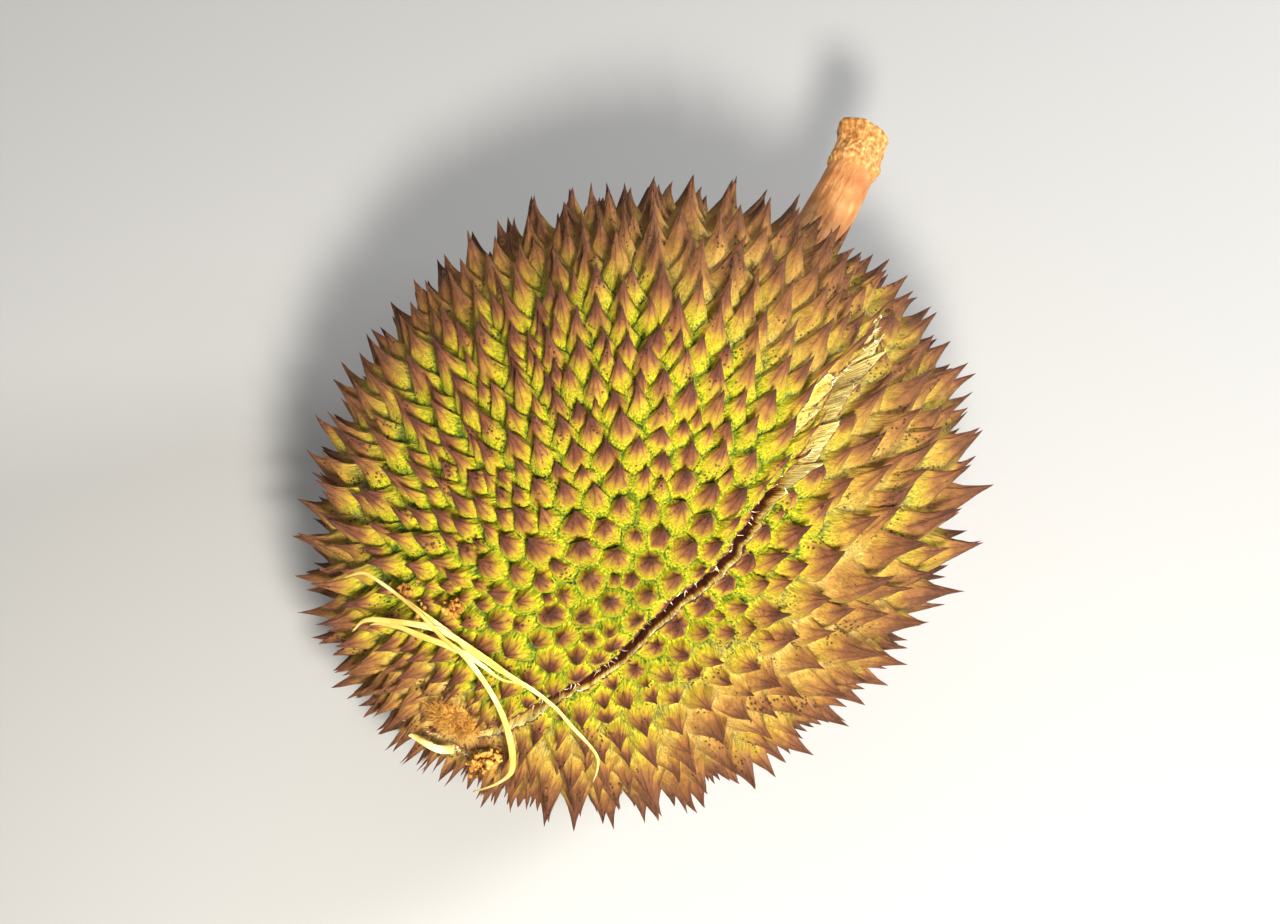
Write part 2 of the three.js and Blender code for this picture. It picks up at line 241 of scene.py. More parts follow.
def spikyMesh():
    cols, levels = spikeShape["columns"], np.array(spikeShape["levels"])
    triangles = deltas()
    alpha, beta = angles(tipDirs)
    lean = fruit["lean"] * np.maximum(tipHeights, 0) * np.sin(np.radians(alpha)) / rindSize[1]
    baseDirs = direction(alpha + np.degrees(lean), beta)

    # Corners of the bases, shared by three spikes
    cornerDirs = unit(baseDirs[triangles].sum(axis=1))
    corners = surfacePoint(cornerDirs, random.uniform(-0.0005, 0.0002, len(triangles)))

    # Directed edges: each is one side of one spike's base
    start = triangles.reshape(-1)
    end = np.roll(triangles, -1, axis=1).reshape(-1)
    order = np.argsort(start * spikeCount + end)
    twin = order[np.searchsorted((start * spikeCount + end)[order], end * spikeCount + start)]
    sides = len(start)
    owner = np.arange(sides) // 3
    nextSide = twin[owner * 3 + (np.arange(sides) + 2) % 3]

    # Points between the corners, shared by two spikes
    first = start < end
    edgeId = np.full(sides, -1)
    edgeId[first] = np.arange(first.sum())
    edgeId[~first] = edgeId[twin[~first]]
    share = np.arange(1, cols) / cols
    low, high = corners[owner[twin[first]]], corners[owner[first]]
    between = low[:, None] * (1 - share[:, None]) + high[:, None] * share[:, None]
    between = between.reshape(-1, 3)
    outward = unit(between - middle)
    rise = np.tile(np.sin(np.pi * share), first.sum()) * spikeShape["saddle"]
    between += outward * (rise * random.uniform(0.3, 1.5, len(rise)))[:, None]

    pile = Pile(["rise", "ridge", "tone", "flesh"])
    pile.add(corners, rise=0.0, ridge=0.0, tone=0.5)
    firstBetween = pile.add(between, rise=0.02, ridge=0.0, tone=0.5)

    # One column of vertices from the base to the tip for every point around a base
    side = np.repeat(np.arange(sides), cols)
    step = np.tile(np.arange(cols), sides)
    spike = start[side]
    along = np.where(first[side], step, cols - step) - 1
    rim = np.where(step == 0, owner[twin[side]], firstBetween + edgeId[side] * (cols - 1) + along)
    nextColumn = np.where(step < cols - 1, np.arange(len(side)) + 1, nextSide[side] * cols)

    ground = surfacePoint(baseDirs, np.zeros(spikeCount))
    normals = unit(surfacePoint(baseDirs, np.full(spikeCount, 0.01)) - ground)
    tips = surfacePoint(tipDirs, tipHeights)
    tall = np.einsum("ij,ij->i", tips - ground, normals)
    tilt = spikeShape["tilt"] - normals * (normals @ spikeShape["tilt"])[:, None]
    tips += tilt * (tall * (1 - smooth(128, 146, alpha)) * smooth(30, 60, alpha))[:, None]
    leanVector = tips - ground - normals * tall[:, None]

    rimPoints = np.concatenate([corners, between])[rim]
    offset = rimPoints - ground[spike]
    up = np.einsum("ij,ij->i", offset, normals[spike])
    flat = offset - normals[spike] * up[:, None]
    reach = np.linalg.norm(flat, axis=1)
    perSpike = np.bincount(spike, minlength=spikeCount)
    meanReach = (np.bincount(spike, reach, spikeCount) / perSpike)[spike]

    curve = blendPatches(tipDirs, *spikeShape["curve"]) * random.uniform(0.92, 1.1, spikeCount)
    curve += 0.4 * nearness(tipDirs, spikeShape["valleys"], 6, 30)
    slender = blendPatches(tipDirs, *spikeShape["slender"])
    roundness = blendPatches(tipDirs, *spikeShape["round"])[spike]
    flute = blendPatches(tipDirs, *spikeShape["flute"])[spike] * (step > 0)
    tone = random.uniform(0, 1, spikeCount)
    wobble = random.normal(0, spikeShape["wobble"], len(side))
    sway = random.normal(0, 0.07, (spikeCount, 3)) * tall[:, None]
    seeds = random.uniform(0, 9, spikeCount)[spike]

    # Blades at the blossom end are thin in the direction around the scar
    aroundPole = unit(np.cross([1.0, 0, 0], normals + [0, 1e-6, 0]))[spike]
    sideways = np.einsum("ij,ij->i", flat, aroundPole)[:, None] * aroundPole
    thin = spikeShape["blade"] * smooth(148, 168, alpha)[spike]

    blocks = []
    for level in levels:
        height = (1 - level) ** (curve + slender * (1 - level))
        soft = roundness * (1 - level ** 1.6)
        radius = (meanReach * soft + reach * (1 - soft)) * level
        radius *= 1 - flute * (1 - level) ** 0.7
        radius *= 1 + wobble * (1 - level)
        radius += chips(rimPoints, seeds, level) * spikeShape["chips"] * min(1, 4 * (1 - level))
        spread = (flat - sideways * (thin * (1 - level) ** 0.5)[:, None]) / reach[:, None]
        h = height[spike][:, None]
        point = ground[spike] + normals[spike] * (up * level)[:, None] + spread * radius[:, None]
        point += normals[spike] * tall[spike][:, None] * h + leanVector[spike] * h ** 1.25
        point += sway[spike] * (h * (1 - h)) * 2
        blocks.append((point, height[spike]))
    rows = len(levels)
    stacked = np.stack([b[0] for b in blocks], axis=1).reshape(-1, 3)
    heights = np.stack([b[1] for b in blocks], axis=1).reshape(-1)
    firstInner = pile.add(
        stacked,
        rise=heights,
        ridge=np.repeat((step == 0).astype(float), rows),
        tone=np.repeat(tone[spike], rows),
    )
    firstTip = pile.add(tips, rise=1.0, ridge=1.0, tone=tone)

    def vertexAt(column, row):
        if row == 0:
            return rim[column]
        if row > rows:
            return firstTip + spike[column]
        return firstInner + column * rows + row - 1

    columns = np.arange(len(side))
    quads, quadPlaces = [], []
    for row in range(rows):
        quads.append(np.stack([
            vertexAt(columns, row), vertexAt(nextColumn, row),
            vertexAt(nextColumn, row + 1), vertexAt(columns, row + 1),
        ], 1))
        quadPlaces.append([(columns, row), (nextColumn, row), (nextColumn, row + 1), (columns, row + 1)])
    tipFaces = np.stack([vertexAt(columns, rows), vertexAt(nextColumn, rows), vertexAt(columns, rows + 1)], 1)
    tipPlaces = [(columns, rows), (nextColumn, rows), (columns, rows + 1)]

    # Each spike is one disc on the bake map, with its tip in the middle
    grid = math.ceil(math.sqrt(spikeCount))
    cell = np.stack([spike % grid, spike // grid], 1) + 0.5
    upstream = np.cross(normals[spike], aroundPole)
    turn = np.arctan2(np.einsum("ij,ij->i", flat, upstream), np.einsum("ij,ij->i", flat, aroundPole))
    spoke = np.stack([np.cos(turn), np.sin(turn)], 1)
    reachOnMap = np.concatenate([[1.0], levels, [0.0]]) ** 0.8 * 0.47

    def mapPlace(column, row):
        return (cell[column] + spoke[column] * reachOnMap[row]) / grid * [1, 0.9]

    uvs = []
    for places in quadPlaces:
        uvs.append(np.stack([mapPlace(c, r) for c, r in places], 1))
    quadUv = np.concatenate(uvs).reshape(-1, 2)
    tipUv = np.stack([mapPlace(c, r) for c, r in tipPlaces], 1).reshape(-1, 2)

    points = np.concatenate(pile.points)
    points[:, 2] = np.maximum(points[:, 2], 0)
    mesh = bpy.data.meshes.new("husk")
    faces = np.concatenate([np.concatenate(quads).reshape(-1), tipFaces.reshape(-1)])
    quadTotal, triTotal = len(columns) * rows, len(columns)
    mesh.vertices.add(len(points))
    mesh.vertices.foreach_set("co", points.reshape(-1))
    mesh.loops.add(len(faces))
    mesh.loops.foreach_set("vertex_index", faces)
    mesh.polygons.add(quadTotal + triTotal)
    starts = np.concatenate([np.arange(quadTotal) * 4, quadTotal * 4 + np.arange(triTotal) * 3])
    mesh.polygons.foreach_set("loop_start", starts)
    uvLayer = mesh.uv_layers.new(name="OFBake")
    uvLayer.data.foreach_set("uv", np.concatenate([quadUv, tipUv]).reshape(-1))
    for name, store in pile.values.items():
        layer = mesh.attributes.new(name, "FLOAT", "POINT")
        layer.data.foreach_set("value", np.concatenate(store))
    mesh.update(calc_edges=True)
    mesh.validate()
    edges = np.empty(len(mesh.edges) * 2, int)
    mesh.edges.foreach_get("vertices", edges)
    onRidge = (np.concatenate(pile.values["ridge"]) > 0.5)[edges.reshape(-1, 2)].all(axis=1)
    sharp = mesh.attributes.new("sharp_edge", "BOOLEAN", "EDGE")
    sharp.data.foreach_set("value", onRidge)
    return mesh


huskMesh = spikyMesh()
print("spiky mesh:", len(huskMesh.polygons), "faces")

# Splits along the sutures

# Each split's 'dark' table sets how far its walls darken with depth: partly painted shade in the gap, partly
# browned flesh.
splits = {
    "long": {
        "from": 176, "to": 44, "width": 0.003, "depth": 0.009, "band": (0.91, 0.02),
        "wider": ((44, 1.4), (56, 2.3), (68, 2.5), (80, 1.9), (92, 1.2), (112, 1.0), (148, 0.95),
                  (160, 1.5), (172, 1.6)),
        "dark": ((60, 0.12), (88, 0.3), (104, 1.5), (146, 1.6), (160, 0.6)),
    },
    "lower": {
        "from": 177, "to": 156, "width": 0.0026, "depth": 0.007, "band": (0.952, 0.006),
        "line": ((156, -33), (177, -33)), "wider": ((156, 1), (170, 1.6), (177, 1.8)),
        "dark": ((156, 1), (177, 1)),
    },
    "under": {
        "from": 177, "to": 162, "width": 0.0032, "depth": 0.008, "band": (0.966, 0.006),
        "line": ((162, -101), (177, -101)), "wider": ((162, 0.9), (177, 1.2)),
        "dark": ((162, 1.2), (177, 1.2)),
    },
    "side": {
        "from": 86, "to": 67, "width": 0.0036, "depth": 0.0012, "band": (0.98, 0.006),
        "line": ((67, 123.6), (72, 122.2), (77, 121.2), (86, 121.6)), "wider": ((67, 1), (86, 1)),
        "dark": ((67, 0.15), (86, 0.15)),
    },
}
wallLevels = (0.015, 0.1, 0.24, 0.42, 0.62, 0.82, 1.0)
lipPlaces = []


def splitBeta(cut, alpha):
    if "line" in cut:
        return np.interp(alpha, *zip(*cut["line"]))
    hook = np.maximum(0, 72 - alpha) / 25
    curl = np.maximum(0, alpha - 156) / 13
    return fruit["suture"] + 2 + 0.9 * np.sin(0.24 * alpha) + 5 * hook ** 1.5 + 1.6 * curl ** 2


def toChart(cut, points):
    dirs, heights = readSurface(points)
    alpha, beta = angles(dirs)
    away = (beta - splitBeta(cut, alpha) + 180) % 360 - 180
    ring = meanRadius * np.sin(np.radians(alpha))
    return np.stack([np.radians(alpha) * meanRadius, np.radians(away) * ring, heights], 1), away


def fromChart(cut, chart):
    alpha = np.degrees(chart[:, 0] / meanRadius)
    ring = meanRadius * np.sin(np.radians(alpha))
    beta = splitBeta(cut, alpha) + np.degrees(chart[:, 1] / ring)
    return surfacePoint(direction(alpha, beta), chart[:, 2])


def openSplit(bm, cut):
    flesh, rise = bm.verts.layers.float["flesh"], bm.verts.layers.float["rise"]
    uvLayer = bm.loops.layers.uv["OFBake"]
    startX, endX = (math.radians(cut[k]) * meanRadius for k in ("to", "from"))
    every = list(bm.verts)
    chart, away = toChart(cut, np.array([v.co for v in every]))
    near = (np.abs(chart[:, 1]) < 0.016) & (np.abs(away) < 80)
    near &= (chart[:, 0] > startX - 0.005) & (chart[:, 0] < min(endX + 0.005, math.pi * meanRadius - 0.002))
    settled = 0.45 + 0.55 * smooth(0.0005, 0.005, np.abs(chart[:, 1]))
    if cut["depth"] > 0.002:
        chart[:, 2] = np.where(chart[:, 2] > 0, chart[:, 2] * settled, chart[:, 2])
    region = {every[i] for i in np.flatnonzero(near)}
    for i in np.flatnonzero(near):
        every[i].co = chart[i]
    edges = [e for e in bm.edges if e.verts[0] in region and e.verts[1] in region]
    faces = [f for f in bm.faces if all(v in region for v in f.verts)]
    cutting = bmesh.ops.bisect_plane(
        bm, geom=list(region) + edges + faces, dist=2e-5, plane_co=(0, 0, 0), plane_no=(0, 1, 0)
    )["geom_cut"]
    region |= {g for g in cutting if isinstance(g, bmesh.types.BMVert)}
    seam = [
        g for g in cutting
        if isinstance(g, bmesh.types.BMEdge) and all(startX < v.co.x < endX for v in g.verts)
    ]
    for e in bmesh.ops.split_edges(bm, edges=seam)["edges"]:
        region |= set(e.verts)

    def opening(x):
        share = (x - startX) / (endX - startX)
        factor = np.interp(math.degrees(x / meanRadius), *zip(*cut["wider"]))
        return factor * max(0.0, math.sin(math.pi * min(max(share, 0.0), 1.0))) ** 0.45

    # Which side each lip is on, then the lips move apart
    rim = {}
    for e in bm.edges:
        if e.is_boundary and e.verts[0] in region and e.verts[1] in region:
            side = 1 if e.link_faces[0].calc_center_median().y > 0 else -1
            for v in e.verts:
                rim.setdefault(v, set()).add(side)
    sideOf = {v: sum(s) for v, s in rim.items()}
    rimEdges = {
        side: [
            e for e in bm.edges
            if e.is_boundary and e.verts[0] in rim and e.verts[1] in rim
            and (e.link_faces[0].calc_center_median().y > 0) == (side > 0)
        ]
        for side in (1, -1)
    }
    for v in region:
        side = sideOf.get(v, math.copysign(1, v.co.y))
        half = 0.5 * cut["width"] * opening(v.co.x)
        ragged = 1 + (0.16 * noise.noise(Vector((v.co.x * 900, side * 7, 2))) if v in rim else 0)
        v.co.y += side * half * ragged * math.exp(-((v.co.y / 0.005) ** 2))
        if v in rim:
            v[flesh] = 0.35 + 0.5 * noise.noise(Vector((v.co.x * 700, side * 9, 5)))
            v[rise] = 1
    welds = []
    closed = {v for v, side in sideOf.items() if side == 0}
    for side, current in rimEdges.items():
        base = {v: v.co.copy() for e in current for v in e.verts}
        level = {v: 0.0 for v in base}
        lipPlaces.extend((cut, co.copy(), side) for co in base.values())
        for share in wallLevels:
            above = {v for e in current for v in e.verts}
            made = bmesh.ops.extrude_edge_only(bm, edges=current)["geom"]
            fresh = {g for g in made if isinstance(g, bmesh.types.BMVert)}
            for v in fresh:
                parent = next(e.other_vert(v) for e in v.link_edges if e.other_vert(v) in above)
                base[v], level[v] = base[parent], share
                deep = -cut["depth"] * min(1, max(0.16, opening(base[v].x)))
                lump = 0.0003 * noise.noise(Vector((base[v].x * 500, share * 4, side * 3)))
                if parent in closed:
                    lump = 0
                    closed.add(v)
                    welds.append(v)
                v.co.x = base[v].x
                v.co.y = base[v].y * (1 - share) ** 0.85 + (lump if share < 1 else 0)
                v.co.z = base[v].z + (deep - base[v].z) * share
                # The walls darken with depth, partly painted shade in the gap and partly browned flesh; the
                # wall on the negative side is darker still, a painted shade.
                darkening = np.interp(math.degrees(base[v].x / meanRadius), *zip(*cut["dark"]))
                paintedSideShade = 1 if side > 0 or cut["depth"] < 0.002 else 0.7
                v[flesh], v[rise] = 1.0, (1 - share * darkening) * paintedSideShade
            current = [
                g for g in made
                if isinstance(g, bmesh.types.BMEdge) and all(v in fresh for v in g.verts)
            ]
            region |= fresh
            for f in [g for g in made if isinstance(g, bmesh.types.BMFace)]:
                low = cut["band"][0] + (cut["band"][1] + 0.001) * (side > 0)
                for loop in f.loops:
                    v = loop.vert
                    u = (base[v].x - startX) / (endX - startX)
                    loop[uvLayer].uv = (0.01 + 0.98 * u, low + cut["band"][1] * level[v])
        welds += fresh - closed
    bmesh.ops.remove_doubles(bm, verts=welds, dist=2e-6)
    region = [v for v in region if v.is_valid]
    for v, co in zip(region, fromChart(cut, np.array([v.co for v in region]))):
        v.co = co


def openSplits(mesh):
    bm = bmesh.new()
    bm.from_mesh(mesh)
    for cut in splits.values():
        openSplit(bm, cut)
    bmesh.ops.recalc_face_normals(bm, faces=bm.faces[:])
    bm.to_mesh(mesh)
    print("open edges left:", sum(e.is_boundary for e in bm.edges))
    bm.free()


openSplits(huskMesh)
print("splits opened:", len(huskMesh.polygons), "faces")


def addPatches(mesh):
    points = np.empty(len(mesh.vertices) * 3)
    mesh.vertices.foreach_get("co", points)
    dirs = readSurface(points.reshape(-1, 3))[0]
    alpha, beta = angles(dirs)
    fresh = 0.42 + 0.62 * nearness(dirs, (118, 92), 22, 62)
    fresh -= 0.25 * nearness(dirs, (60, 85), 10, 50)
    fresh -= 0.1 * nearness(dirs, (118, 158), 12, 40)
    fresh -= 0.35 * smooth(148, 168, alpha)
    layer = mesh.attributes.new("fresh", "FLOAT", "POINT")
    layer.data.foreach_set("value", np.clip(fresh, 0, 1))
    mesh.polygons.foreach_set("use_smooth", np.ones(len(mesh.polygons), bool))


addPatches(huskMesh)


# Node groups

def colour(text):
    parts = [int(text[i:i + 2], 16) / 255 for i in (1, 3, 5)]
    return [c / 12.92 if c <= 0.04045 else ((c + 0.055) / 1.055) ** 2.4 for c in parts] + [1]


def put(tree, kind, inputs=(), **settings):
    made = tree.nodes.new("ShaderNode" + kind)
    for name, value in settings.items():
        setattr(made, name, value)
    for name, value in dict(inputs).items():
        if isinstance(value, bpy.types.NodeSocket):
            tree.links.new(value, made.inputs[name])
        else:
            made.inputs[name].default_value = value
    return made


def maths(tree, operation, a, b=0.5, clamp=False):
    return put(tree, "Math", {0: a, 1: b}, operation=operation, use_clamp=clamp).outputs[0]


def swing(tree, value, amount):
    return maths(tree, "MULTIPLY", maths(tree, "SUBTRACT", value, 0.5), amount)


def mixed(tree, share, a, b, blend="MIX"):
    made = put(tree, "Mix", {0: share, 6: a, 7: b}, data_type="RGBA", blend_type=blend)
    return made.outputs[2]


def stepped(tree, value, low, high):
    made = put(tree, "MapRange", {0: value, 1: low, 2: high, 3: 0.0, 4: 1.0}, interpolation_type="SMOOTHSTEP")
    return made.outputs[0]


def ramp(tree, value, stops):
    made = put(tree, "ValToRGB", {0: value})
    elements = made.color_ramp.elements
    while len(elements) < len(stops):
        elements.new(0.5)
    for element, (place, shade) in zip(elements, stops):
        element.position = place
        element.color = colour(shade)
    return made.outputs[0]


def attribute(tree, name):
    return put(tree, "Attribute", attribute_name=name).outputs["Fac"]


def startGroup(name, inputs, outputs):
    tree = bpy.data.node_groups.new(name, "ShaderNodeTree")
    for label, kind, value in inputs:
        socket = tree.interface.new_socket(label, in_out="INPUT", socket_type=kind)
        if value is not None:
            socket.default_value = value
    for label, kind in outputs:
        tree.interface.new_socket(label, in_out="OUTPUT", socket_type=kind)
    return tree, tree.nodes.new("NodeGroupInput"), tree.nodes.new("NodeGroupOutput")


def makeFibreGroup():
    tree, given, out = startGroup(
        "Fibre streaks",
        [("Place", "NodeSocketVector", None), ("Scale", "NodeSocketFloat", 100.0)],
        [("Streaks", "NodeSocketFloat"), ("Grain", "NodeSocketFloat")],
    )
    wide = put(tree, "TexNoise", {
        "Vector": given.outputs["Place"], "Scale": given.outputs["Scale"], "Detail": 3.0, "Roughness": 0.6,
    })
    finer = maths(tree, "MULTIPLY", given.outputs["Scale"], 3.7)
    fine = put(tree, "TexNoise", {"Vector": given.outputs["Place"], "Scale": finer, "Detail": 2.0})
    tree.links.new(stepped(tree, wide.outputs[0], 0.3, 0.7), out.inputs["Streaks"])
    tree.links.new(stepped(tree, fine.outputs[0], 0.3, 0.7), out.inputs["Grain"])
    return tree


def makeSpeckGroup():
    tree, given, out = startGroup(
        "Specks",
        [("Place", "NodeSocketVector", None), ("Scale", "NodeSocketFloat", 500.0),
         ("Size", "NodeSocketFloat", 0.25), ("Cluster Scale", "NodeSocketFloat", 60.0)],
        [("Mask", "NodeSocketFloat")],
    )
    cells = put(tree, "TexVoronoi", {"Vector": given.outputs["Place"], "Scale": given.outputs["Scale"]})
    clusters = put(tree, "TexNoise", {
        "Vector": given.outputs["Place"], "Scale": given.outputs["Cluster Scale"], "Detail": 2.0,
    })
    size = maths(tree, "MULTIPLY", given.outputs["Size"], stepped(tree, clusters.outputs[0], 0.42, 0.72))
    speck = maths(tree, "SUBTRACT", size, cells.outputs["Distance"])
    tree.links.new(maths(tree, "MULTIPLY", speck, 12.0, clamp=True), out.inputs["Mask"])
    return tree


def makeBlotchGroup():
    tree, given, out = startGroup(
        "Blotches",
        [("Place", "NodeSocketVector", None), ("Scale", "NodeSocketFloat", 40.0)],
        [("Broad", "NodeSocketFloat"), ("Small", "NodeSocketFloat")],
    )
    broad = put(tree, "TexNoise", {
        "Vector": given.outputs["Place"], "Scale": given.outputs["Scale"], "Detail": 4.0,
    })
    closer = maths(tree, "MULTIPLY", given.outputs["Scale"], 6.0)
    small = put(tree, "TexNoise", {"Vector": given.outputs["Place"], "Scale": closer, "Detail": 3.0})
    tree.links.new(broad.outputs[0], out.inputs["Broad"])
    tree.links.new(small.outputs[0], out.inputs["Small"])
    return tree


fibreGroup, speckGroup, blotchGroup = makeFibreGroup(), makeSpeckGroup(), makeBlotchGroup()


def useGroup(tree, group, **inputs):
    made = tree.nodes.new("ShaderNodeGroup")
    made.node_tree = group
    for name, value in inputs.items():
        socket = made.inputs[name.replace("_", " ")]
        if isinstance(value, bpy.types.NodeSocket):
            tree.links.new(value, socket)
        else:
            socket.default_value = value
    return made.outputs


def startMaterial(name, **fixed):
    material = bpy.data.materials.new(name)
    material.use_nodes = True
    tree = material.node_tree
    shader = tree.nodes["Principled BSDF"]
    for label, value in fixed.items():
        shader.inputs[label.replace("_", " ")].default_value = value
    return material, tree, shader


def finishMaterial(tree, shader, shade, rough, height, strength, distance):
    tree.links.new(shade, shader.inputs["Base Color"])
    tree.links.new(rough, shader.inputs["Roughness"])
    bump = put(tree, "Bump", {"Height": height, "Strength": strength, "Distance": distance})
    tree.links.new(bump.outputs[0], shader.inputs["Normal"])


# Husk material

huskLook = {
    # The lowest stops of the green and dry ramps darken the valley floors between the spikes: painted shade.
    "green": [(0, "#465808"), (0.1, "#77860d"), (0.26, "#b3ad16"), (0.46, "#b99d26"), (0.6, "#9b6c30"),
              (0.74, "#77432a"), (1, "#4b271b")],
    "dry": [(0, "#43490f"), (0.05, "#7d7527"), (0.13, "#b99c56"), (0.3, "#bd9748"), (0.5, "#a57835"),
            (0.74, "#84552b"), (1, "#613a20")],
    # The darkest flesh stops stand for depth in the gap: partly painted shade, partly browned flesh.
    "flesh": [(0, "#2e110a"), (0.6, "#622a13"), (0.7, "#a8692a"), (0.78, "#e2b652"), (0.88, "#f8e078"),
              (1, "#fff0a4")],
    "greenReach": 1.05,
}


def makeHuskMaterial():
    material, tree, shader = startMaterial("rind", Specular_IOR_Level=0.3)
    coords = put(tree, "TexCoord").outputs["Object"]
    fromMiddle = put(tree, "VectorMath", {0: coords, 1: fruit["middle"]}, operation="SUBTRACT").outputs[0]
    spoke = put(tree, "VectorMath", {0: fromMiddle}, operation="NORMALIZE").outputs[0]
    rise, ridge, tone, flesh, fresh = (
        attribute(tree, name) for name in ("rise", "ridge", "tone", "flesh", "fresh")
    )
    fibres = useGroup(tree, fibreGroup, Place=spoke, Scale=150.0)
    blotches = useGroup(tree, blotchGroup, Place=coords, Scale=45.0)
    specks = useGroup(tree, speckGroup, Place=coords, Scale=900.0, Size=0.42, Cluster_Scale=140.0)["Mask"]

    # How far up the spike the colour has turned, sooner where the rind is dry
    uneven = maths(tree, "ADD", swing(tree, blotches["Small"], 0.55), swing(tree, tone, 0.22))
    uneven = maths(tree, "ADD", uneven, swing(tree, fibres["Streaks"], 0.16))
    lift = maths(tree, "MULTIPLY", maths(tree, "POWER", rise, 0.75), huskLook["greenReach"])
    ridgeLift = maths(tree, "MULTIPLY", maths(tree, "POWER", ridge, 2.0), maths(tree, "MULTIPLY", rise, 0.22))
    turned = maths(tree, "ADD", maths(tree, "ADD", lift, ridgeLift), uneven)
    # Near the foot of each spike both ramps turn dark: painted shade in the valleys between the spikes.
    greenShade = ramp(tree, turned, huskLook["green"])
    dryShade = ramp(tree, maths(tree, "ADD", turned, 0.12), huskLook["dry"])
    freshness = maths(tree, "ADD", fresh, swing(tree, blotches["Broad"], 0.9))
    shade = mixed(tree, stepped(tree, freshness, 0.2, 0.75), dryShade, greenShade)

    # Torn flesh inside the splits; its ramp goes near black deep in the gap, partly painted shade and partly
    # browned flesh
    height = maths(tree, "ADD", rise, maths(tree, "MULTIPLY", uneven, 0.35))
    fleshShade = ramp(tree, height, huskLook["flesh"])
    shade = mixed(tree, stepped(tree, flesh, 0.25, 0.75), shade, fleshShade)

    # Lengthwise fibres and specks
    streak = put(tree, "MapRange", {0: fibres["Streaks"], 3: 0.55, 4: 1.3}).outputs[0]
    streak = put(tree, "CombineColor", {0: streak, 1: streak, 2: streak}).outputs[0]
    shade = mixed(tree, 1.0, shade, streak, "MULTIPLY")
    shade = mixed(tree, maths(tree, "MULTIPLY", specks, 0.8), shade, colour("#241509"))

    rough = put(tree, "MapRange", {0: blotches["Small"], 3: 0.5, 4: 0.8}).outputs[0]
    height = maths(tree, "MULTIPLY", fibres["Streaks"], 0.7)
    height = maths(tree, "ADD", height, maths(tree, "MULTIPLY", fibres["Grain"], 0.3))
    height = maths(tree, "ADD", height, maths(tree, "MULTIPLY", blotches["Small"], 0.6))
    finishMaterial(tree, shader, shade, rough, height, 0.8, 0.0005)
    return material


huskMaterial = makeHuskMaterial()
huskMesh.materials.append(huskMaterial)


def addPiece(name, mesh, node=None):
    piece = bpy.data.objects.new(name, mesh)
    bpy.context.scene.collection.objects.link(piece)
    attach(piece, "root")
    if node:
        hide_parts(node)
    return piece


husk = addPiece("husk_skin", huskMesh, "husk")
print("husk done")


# Curves and lofts

def smoothPath(stations, count):
    stations = np.array(stations, float)
    ends = [2 * stations[0] - stations[1]], [2 * stations[-1] - stations[-2]]
    points = np.concatenate([ends[0], stations, ends[1]])
    dense = []
    for i in range(1, len(points) - 2):
        p0, p1, p2, p3 = points[i - 1:i + 3]
        t0 = 0.0
        t1 = t0 + np.linalg.norm(p1 - p0) ** 0.5
        t2 = t1 + np.linalg.norm(p2 - p1) ** 0.5
        t3 = t2 + np.linalg.norm(p3 - p2) ** 0.5
        t = np.linspace(t1, t2, 60, endpoint=False)[:, None]
        a1 = (t1 - t) / (t1 - t0) * p0 + (t - t0) / (t1 - t0) * p1
        a2 = (t2 - t) / (t2 - t1) * p1 + (t - t1) / (t2 - t1) * p2
        a3 = (t3 - t) / (t3 - t2) * p2 + (t - t2) / (t3 - t2) * p3
        b1 = (t2 - t) / (t2 - t0) * a1 + (t - t0) / (t2 - t0) * a2
        b2 = (t3 - t) / (t3 - t1) * a2 + (t - t1) / (t3 - t1) * a3
        dense.append((t2 - t) / (t2 - t1) * b1 + (t - t1) / (t2 - t1) * b2)
    dense = np.concatenate(dense + [stations[-1:]])
    travelled = np.concatenate([[0], np.cumsum(np.linalg.norm(np.diff(dense, axis=0), axis=1))])
    wanted = np.linspace(0, travelled[-1], count)
    return np.stack([np.interp(wanted, travelled, dense[:, k]) for k in range(3)], 1), travelled[-1]


def loftMesh(name, rings, place=None):
    rings = np.array(rings)
    rows, count = rings.shape[:2]
    points = rings.reshape(-1, 3)
    ends = np.array([rings[0].mean(axis=0), rings[-1].mean(axis=0)])
    i, j = np.meshgrid(np.arange(count), np.arange(rows - 1))
    a, b = j * count + i, j * count + (i + 1) % count
    faces = np.stack([a, b, b + count, a + count], -1).reshape(-1, 4).tolist()
    first, last = rows * count, rows * count + 1
    faces += [(first, (k + 1) % count, k) for k in range(count)]
    faces += [(last, last - 1 - count + k, last - 1 - count + (k + 1) % count) for k in range(count)]
    mesh = bpy.data.meshes.new(name)
    mesh.from_pydata(np.concatenate([points, ends]).tolist(), [], faces)
    if place is not None:
        values = np.concatenate([place.reshape(-1, 3), place[0].mean(0)[None], place[-1].mean(0)[None]])
        layer = mesh.attributes.new("place", "FLOAT_VECTOR", "POINT")
        layer.data.foreach_set("vector", values.reshape(-1))
    mesh.polygons.foreach_set("use_smooth", np.ones(len(faces), bool))
    mesh.update()
    return mesh


def frames(points, outward):
    along = unit(np.gradient(points, axis=0))
    across = unit(np.cross(along, outward))
    return along, across, np.cross(across, along)


# Stalk

stalkShape = {
    "route": [(0.0698, 0, 0), (0.082, 0.0001, 0), (0.096, 0.0006, 0.0002),
              (0.111, 0.0022, 0.0013), (0.127, 0.0046, 0.0032)],
    "rows": 150,
    "sides": 90,
    "profile": [(0, 7.9), (0.18, 7.8), (0.3, 7.4), (0.45, 7.0), (0.6, 6.7), (0.72, 6.4), (0.765, 6.3),
                (0.785, 7.0), (0.81, 7.3), (0.85, 7.0), (0.89, 6.6), (0.93, 7.0), (0.965, 7.5),
                (0.985, 7.0), (1, 5.2)],
}


